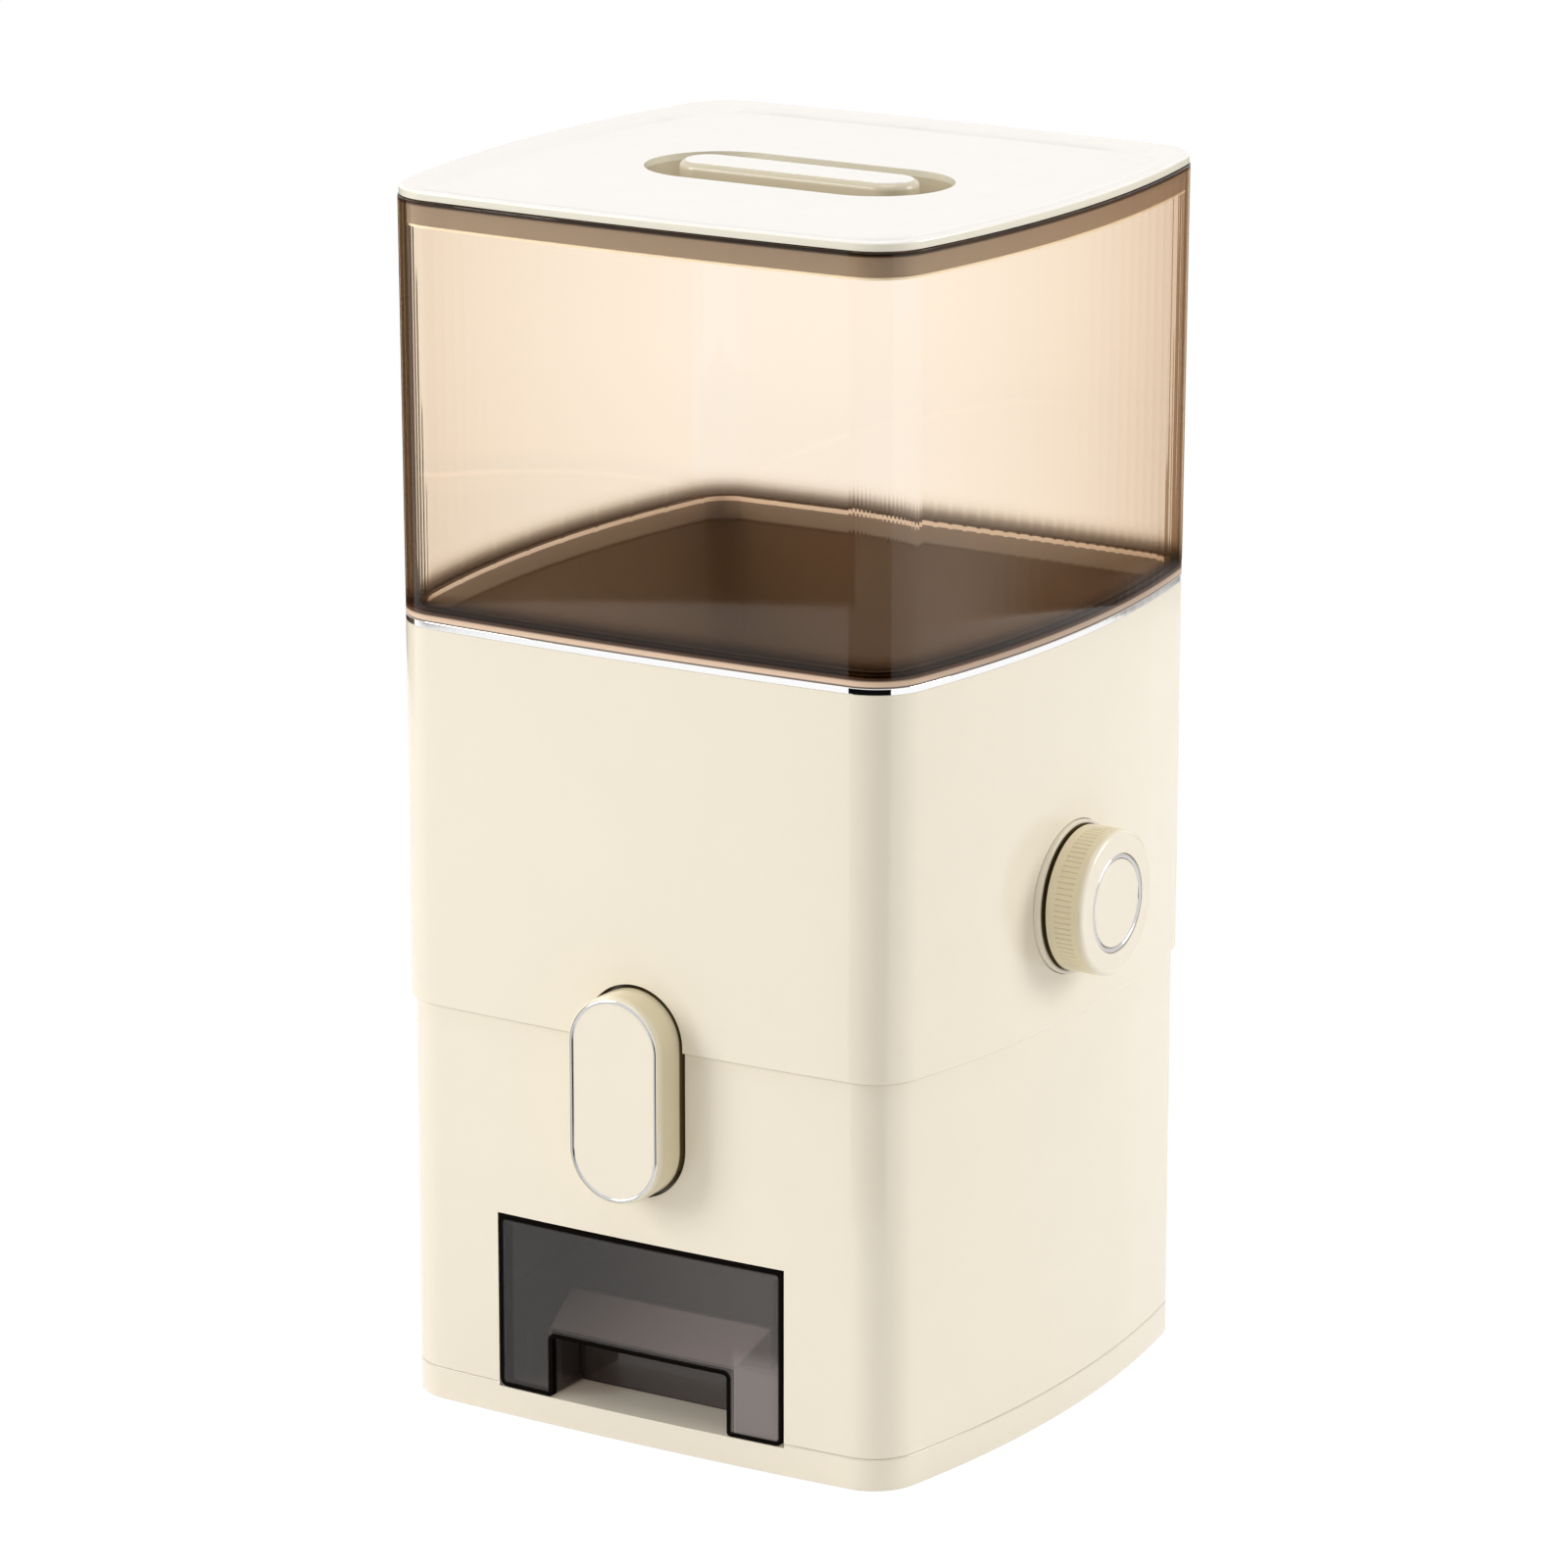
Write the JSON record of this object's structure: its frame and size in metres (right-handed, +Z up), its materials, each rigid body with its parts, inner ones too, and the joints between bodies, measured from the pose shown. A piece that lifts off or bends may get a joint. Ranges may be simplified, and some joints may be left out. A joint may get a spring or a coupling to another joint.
{
  "type": "rice dispenser",
  "caption": "Free-standing rice dispenser with see-through bin, lift-off lid, knob-turned metering rotor, push-button shutter and pull-out drawer.",
  "frame": {"origin": "centre of the base on the surface it stands on", "axes": "+Z up, +X towards the side knob, -Y towards the front with the button and the drawer"},
  "size_m": [0.2484, 0.2357, 0.4462],
  "materials": {
    "cream_plastic": "glossy injection moulded ABS",
    "lid_plastic": "satin white ABS",
    "brown_clear": "clear brown-tinted polystyrene, polished",
    "funnel_brown": "dark brown ABS",
    "smoke_clear": "smoky grey see-through polystyrene, polished",
    "bright_chrome": "bright plated",
    "inner_plastic": "plain natural moulding",
    "soft_seal": "soft silicone",
    "steel": "bright spring steel",
    "zinc_screw": "zinc plated"
  },
  "bodies": {
    "housing": {"base_plate": "cream_plastic", "lower_housing": "cream_plastic", "upper_housing": "cream_plastic", "knob_collar": "cream_plastic", "storage_bin": "brown_clear", "hopper_funnel": "funnel_brown", "chrome_band": "bright_chrome", "drawer_guide": "inner_plastic", "metering_trough": "inner_plastic", "shutter_keeper": "inner_plastic", "button_guide": "inner_plastic", "collar_nut": "inner_plastic", "shaft_bushes": "inner_plastic", "bin_seal": "soft_seal", "foot_pads": "soft_seal", "detent_spring": "steel", "button_springs": "steel", "base_screws": "zinc_screw", "guide_screws": "zinc_screw", "seam_screws": "zinc_screw", "barrel_screws": "zinc_screw", "keeper_screws": "zinc_screw", "detent_screw": "zinc_screw", "button_guide_screws": "zinc_screw"},
    "lid": {"lid_panel": "lid_plastic", "lid_gasket": "soft_seal", "grip_dish": "lid_plastic", "lid_grip": "lid_plastic", "lid_screws": "zinc_screw"},
    "knob": {"drive_shaft": "steel", "metering_rotor": "inner_plastic", "rotor_wipers": "soft_seal", "detent_wheel": "inner_plastic", "shaft_clip": "steel", "knob_body": "cream_plastic", "knob_trim_ring": "bright_chrome", "knob_cap": "cream_plastic", "knob_screw": "zinc_screw"},
    "button": {"button_body": "cream_plastic", "button_trim_ring": "bright_chrome", "button_face": "cream_plastic", "shutter_gate": "inner_plastic", "gate_screw": "zinc_screw"},
    "drawer": {"drawer": "smoke_clear"}
  },
  "joints": [
    {"name": "lid_lift", "type": "slide", "parent": "housing", "child": "lid", "axis": [0, 0, 1], "range_m": [0, 0.06]},
    {"name": "knob_turn", "type": "hinge", "parent": "housing", "child": "knob", "pos_m": [0, 0, 0.1953], "axis": [1, 0, 0], "continuous": true, "deforming": ["detent_spring"]},
    {"name": "button_press", "type": "slide", "parent": "housing", "child": "button", "axis": [0, 1, 0], "range_m": [0, 0.0095], "stiffness_N_per_m": 500, "springref_m": -0.005, "deforming": ["button_springs"]},
    {"name": "drawer_slide", "type": "slide", "parent": "housing", "child": "drawer", "axis": [0, -1, 0], "range_m": [0, 0.15]}
  ]
}
